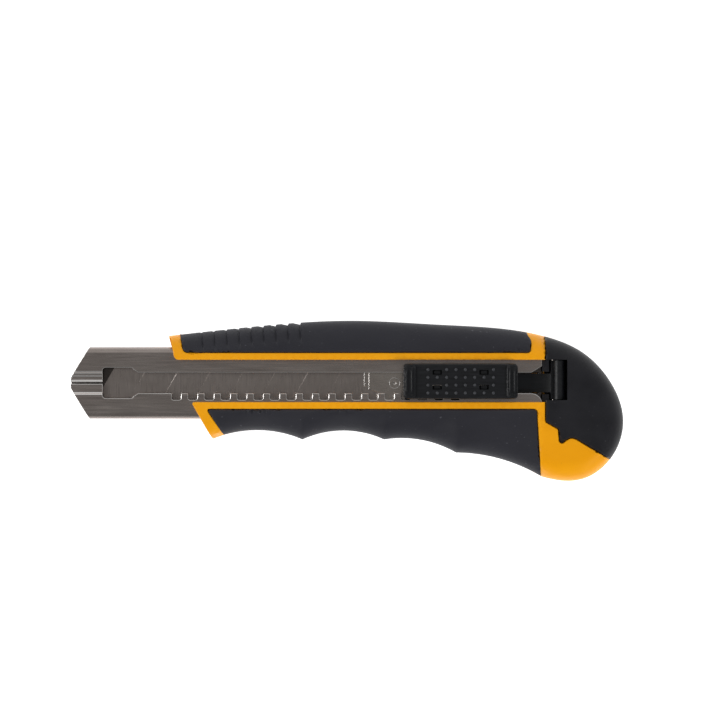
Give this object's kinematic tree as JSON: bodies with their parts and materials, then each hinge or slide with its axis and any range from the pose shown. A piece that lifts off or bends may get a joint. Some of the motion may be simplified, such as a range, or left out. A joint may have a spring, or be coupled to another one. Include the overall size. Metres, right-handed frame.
{
  "type": "snap_off_knife",
  "caption": "Heavy-duty snap-off utility knife with a steel blade channel, a locking slider, rubber grips on a moulded yellow body and a removable end cap",
  "frame": {"origin": "middle of the underside, with the knife lying on its flat back", "axes": "+X from the blade's tip to the end cap, +Y from the cutting edge to the spine, +Z from the flat back to the slider"},
  "size_m": [0.1688, 0.049, 0.0188],
  "materials": {
    "yellow_shell": "satin",
    "grip_rubber": "matte",
    "cap_plastic": "matte",
    "black_plastic": "satin",
    "channel_steel": "satin",
    "blade_steel": "satin",
    "spring_steel": "satin"
  },
  "bodies": {
    "handle": {"handle_shell": "yellow_shell", "upper_grip": "grip_rubber", "lower_grip": "grip_rubber", "blade_channel": "channel_steel", "spare_blade_1": "blade_steel", "spare_blade_2": "blade_steel"},
    "slider": {"slider_base": "black_plastic", "blade_carrier": "channel_steel", "carrier_pin": "blade_steel", "snap_blade": "blade_steel", "lock_spring": "spring_steel"},
    "button": {"thumb_button": "black_plastic"},
    "cap": {"end_cap": "cap_plastic", "latch_pin": "spring_steel"},
    "latch": {"cap_latch": "black_plastic"}
  },
  "joints": [
    {"name": "blade_slide", "type": "slide", "parent": "handle", "child": "slider", "axis": [-1, 0, 0], "range_m": [0, 0.075]},
    {"name": "button_press", "type": "slide", "parent": "slider", "child": "button", "axis": [0, 0, -1], "range_m": [0, 0.001], "stiffness_N_per_m": 1200, "springref_m": -0.0004, "deforming": ["lock_spring"]},
    {"name": "cap_pull", "type": "slide", "parent": "handle", "child": "cap", "axis": [1, 0, 0], "range_m": [0, 0.025]},
    {"name": "latch_press", "type": "hinge", "parent": "cap", "child": "latch", "pos_m": [0.0629, 0.00643, 0.0115], "axis": [0, 1, 0], "range_deg": [0, 10], "stiffness_Nm_per_rad": 0.06, "springref_deg": -2.86}
  ]
}
